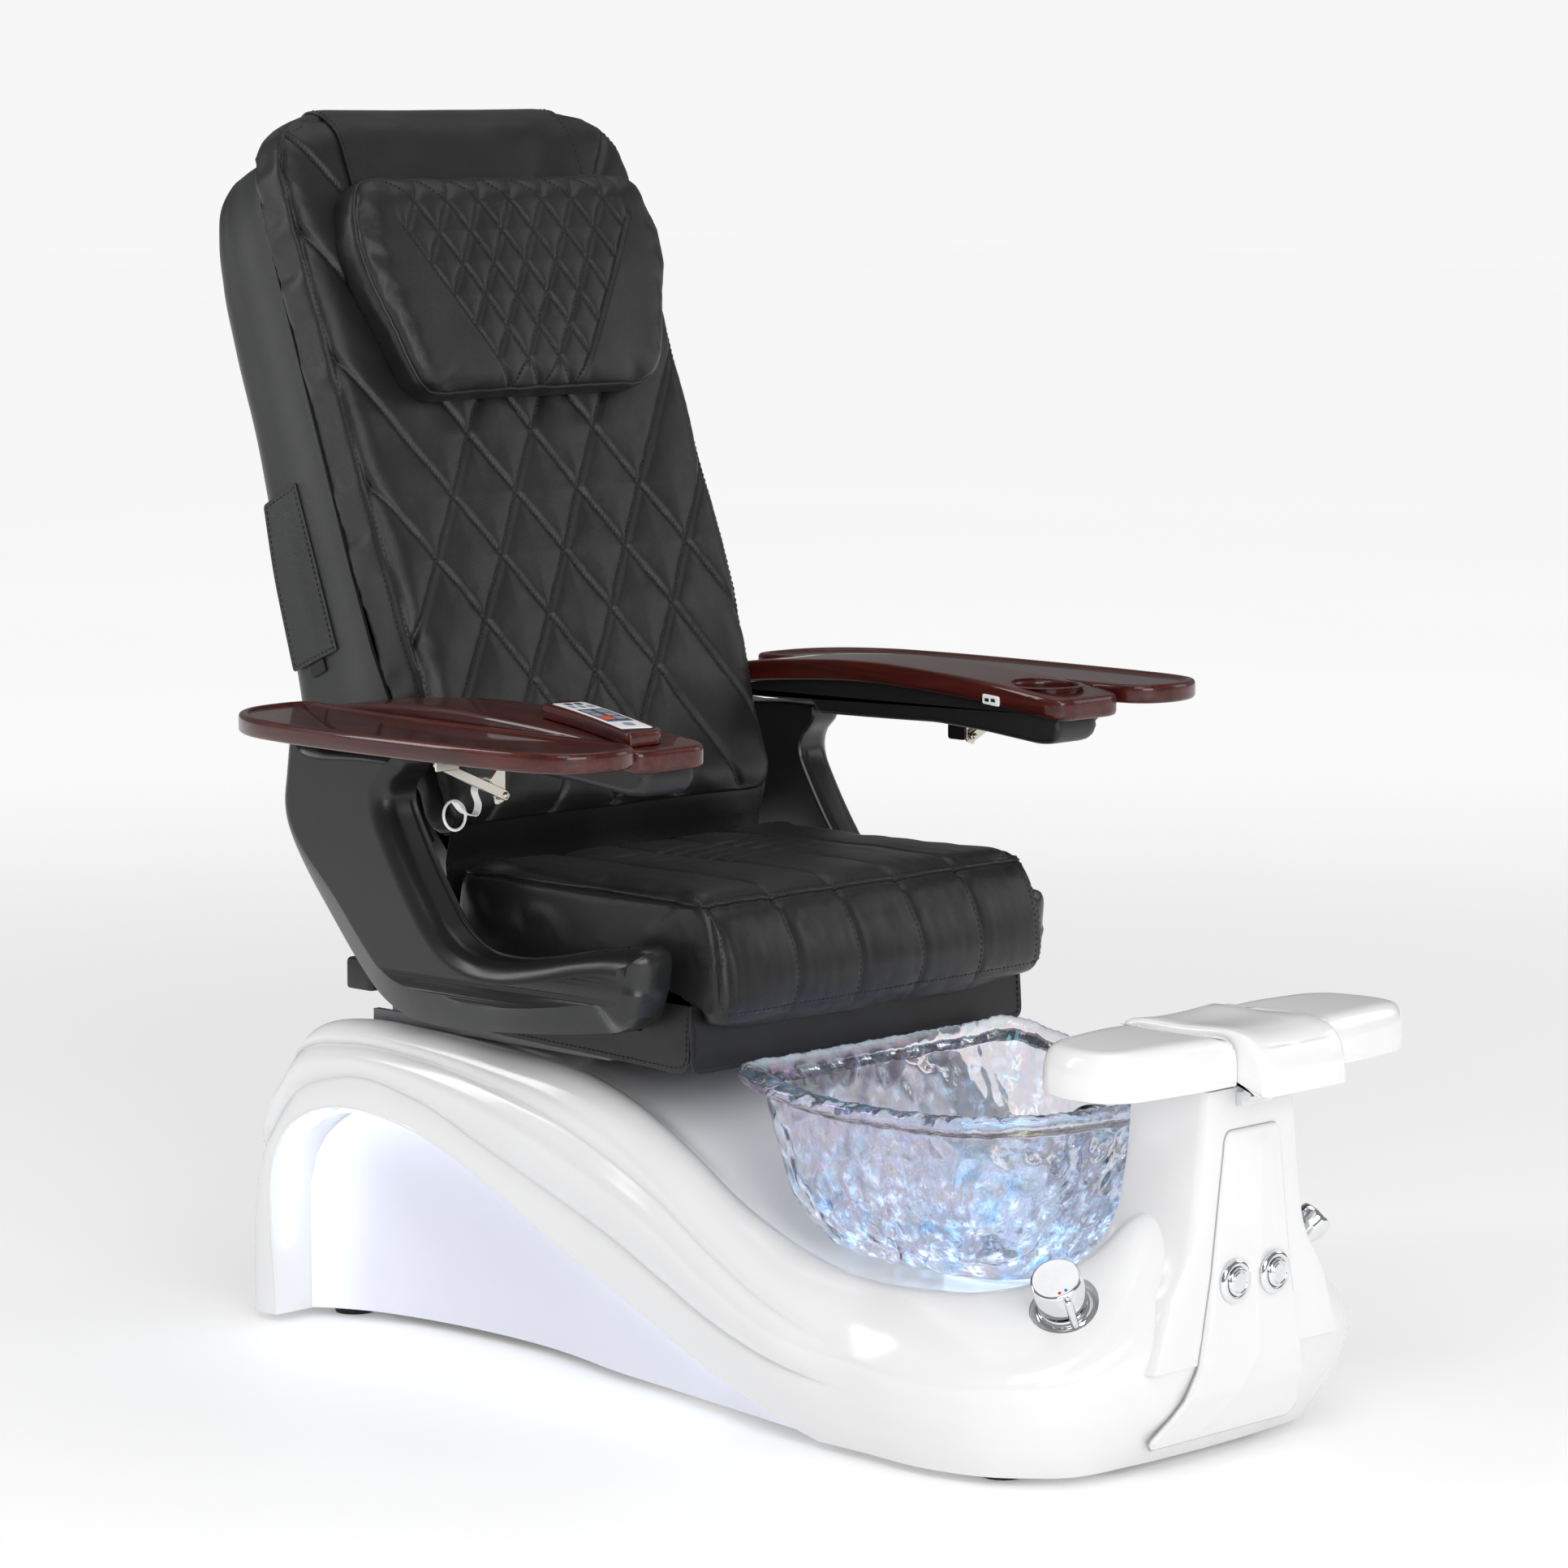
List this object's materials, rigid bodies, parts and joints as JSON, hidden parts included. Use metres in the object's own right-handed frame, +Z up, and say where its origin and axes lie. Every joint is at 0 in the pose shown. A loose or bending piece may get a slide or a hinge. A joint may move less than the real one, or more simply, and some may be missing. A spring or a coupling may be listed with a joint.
{
  "type": "pedicure spa chair",
  "caption": "Pedicure spa chair: reclining massage chair with flip-up arms and fold-down trays on a sliding base, with a glass foot bowl, tap and tilting footrest in front.",
  "frame": {"origin": "on the floor, under the middle of the whole chair with its trays up", "axes": "+Z up; the sitter looks along -Y; +X is the sitter's left"},
  "size_m": [1.02, 1.3595, 1.3537],
  "materials": {
    "shell_white": "high-gloss white gelcoat",
    "lit_panel": "white acrylic washed by cool LED light",
    "led_light": "diffused cool white light",
    "black_vinyl": "satin grained black vinyl with tonal stitching",
    "black_moulding": "satin black moulding with a fine grain",
    "lacquered_wood": "dark burgundy high-gloss lacquer",
    "bowl_glass": "clear cast glass with a pale blue cast",
    "chrome_trim": "polished chrome plate",
    "frame_steel": "satin grey powder coat",
    "foot_rubber": "matt black rubber",
    "footrest_white": "white moulded foam with a soft gloss"
  },
  "bodies": {
    "base": {"base_shell": "shell_white", "side_light_panel_left": "lit_panel", "side_light_panel_right": "lit_panel", "led_strip_left": "led_light", "led_strip_right": "led_light", "access_panel": "shell_white", "jet_button_bezel": "chrome_trim", "drain_button_bezel": "chrome_trim", "foot_bowl": "bowl_glass", "drain_strainer": "chrome_trim", "bowl_light_ring": "led_light", "jet_housing": "chrome_trim", "mixer_escutcheon": "chrome_trim", "shower_holder": "chrome_trim", "base_frame": "frame_steel", "levelling_foot_front_left": "foot_rubber", "levelling_foot_front_right": "foot_rubber", "levelling_foot_rear_left": "foot_rubber", "levelling_foot_rear_right": "foot_rubber", "control_box": "black_moulding", "drain_pump": "black_moulding", "slide_rail_left": "frame_steel", "slide_rail_right": "frame_steel", "slide_actuator": "black_moulding", "footrest_hinge": "chrome_trim"},
    "jet_button": {"jet_button": "chrome_trim"},
    "drain_button": {"drain_button": "chrome_trim"},
    "jet_impeller": {"jet_impeller": "shell_white"},
    "mixer_cartridge": {"mixer_cartridge": "frame_steel"},
    "mixer_handle": {"mixer_handle": "chrome_trim"},
    "hand_shower": {"hand_shower": "chrome_trim"},
    "footrest": {"footrest_pad_centre": "footrest_white", "footrest_pad_left": "footrest_white", "footrest_pad_right": "footrest_white"},
    "seat": {"seat_pan": "frame_steel", "seat_cushion": "black_vinyl", "front_skirt": "black_vinyl", "side_skirt_left": "black_vinyl", "side_skirt_right": "black_vinyl", "side_panel_left": "black_moulding", "side_panel_right": "black_moulding", "rear_cover": "black_moulding", "slide_rod": "frame_steel", "recline_actuator": "black_moulding"},
    "back": {"back_shell": "black_moulding", "back_frame": "frame_steel", "back_cushion": "black_vinyl", "pillow": "black_vinyl", "magazine_pocket": "black_vinyl"},
    "massage_carriage": {"massage_carriage": "black_moulding"},
    "massage_rollers": {"massage_rollers": "foot_rubber"},
    "armrest_left": {"armrest_top_left": "lacquered_wood", "armrest_shell_left": "black_moulding"},
    "armrest_right": {"armrest_top_right": "lacquered_wood", "armrest_shell_right": "black_moulding", "remote_control": "black_moulding"},
    "tray_left": {"tray_left": "lacquered_wood"},
    "tray_right": {"tray_right": "lacquered_wood"},
    "tray_strut_left": {"tray_strut_left": "frame_steel"},
    "tray_strut_right": {"tray_strut_right": "frame_steel"}
  },
  "joints": [
    {"name": "chair_slide", "type": "slide", "parent": "base", "child": "seat", "axis": [0, 1, 0], "range_m": [0, 0.12]},
    {"name": "back_recline", "type": "hinge", "parent": "seat", "child": "back", "pos_m": [0, 0.348, 0.47], "axis": [-1, 0, 0], "range_deg": [0, 25]},
    {"name": "massage_travel", "type": "slide", "parent": "back", "child": "massage_carriage", "axis": [0, 0.342, 0.9397], "range_m": [-0.28, 0.12]},
    {"name": "massage_roller_spin", "type": "hinge", "parent": "massage_carriage", "child": "massage_rollers", "pos_m": [0, 0.56652, 0.96512], "axis": [1, 0, 0], "continuous": true},
    {"name": "armrest_left_flip", "type": "hinge", "parent": "seat", "child": "armrest_left", "pos_m": [0.32, 0.4176, 0.708], "axis": [-1, 0, 0], "range_deg": [0, 70]},
    {"name": "armrest_right_flip", "type": "hinge", "parent": "seat", "child": "armrest_right", "pos_m": [-0.32, 0.4176, 0.708], "axis": [-1, 0, 0], "range_deg": [0, 70]},
    {"name": "tray_left_fold", "type": "hinge", "parent": "armrest_left", "child": "tray_left", "pos_m": [0.3745, -0.087, 0.686], "axis": [-0.0806, 0.9967, 0], "range_deg": [0, 88]},
    {"name": "tray_right_fold", "type": "hinge", "parent": "armrest_right", "child": "tray_right", "pos_m": [-0.3745, -0.087, 0.686], "axis": [-0.0806, -0.9967, 0], "range_deg": [0, 88]},
    {"name": "tray_strut_left_turn", "type": "hinge", "parent": "armrest_left", "child": "tray_strut_left", "pos_m": [0.358, 0.086, 0.65], "axis": [0, 1, 0], "range_deg": [0, 107.5]},
    {"name": "tray_strut_right_turn", "type": "hinge", "parent": "armrest_right", "child": "tray_strut_right", "pos_m": [-0.358, 0.086, 0.65], "axis": [0, -1, 0], "range_deg": [0, 107.5]},
    {"name": "footrest_tilt", "type": "hinge", "parent": "base", "child": "footrest", "pos_m": [0, -0.623, 0.383], "axis": [1, 0, 0], "range_deg": [0, 70]},
    {"name": "jet_button_push", "type": "slide", "parent": "base", "child": "jet_button", "axis": [0, 1, 0], "range_m": [0, 0.002], "stiffness_N_per_m": 400},
    {"name": "drain_button_push", "type": "slide", "parent": "base", "child": "drain_button", "axis": [0, 1, 0], "range_m": [0, 0.002], "stiffness_N_per_m": 400},
    {"name": "mixer_turn", "type": "hinge", "parent": "base", "child": "mixer_cartridge", "pos_m": [-0.172, -0.518, 0.173], "axis": [-0.5984, -0.2593, 0.758], "range_deg": [-45, 45]},
    {"name": "mixer_lift", "type": "hinge", "parent": "mixer_cartridge", "child": "mixer_handle", "pos_m": [-0.18995, -0.52578, 0.19574], "axis": [-0.7345, 0.5556, -0.3898], "range_deg": [0, 12]},
    {"name": "hand_shower_lift", "type": "slide", "parent": "base", "child": "hand_shower", "axis": [0.6594, -0.2997, 0.6894], "range_m": [0, 0.25]},
    {"name": "jet_impeller_spin", "type": "hinge", "parent": "base", "child": "jet_impeller", "pos_m": [0.166, -0.274, 0.262], "axis": [1, 0, 0], "continuous": true}
  ],
  "couplings": [
    {"joint": "tray_strut_left_turn", "follows": "tray_left_fold", "ratio": 1.22},
    {"joint": "tray_strut_right_turn", "follows": "tray_right_fold", "ratio": 1.22}
  ]
}
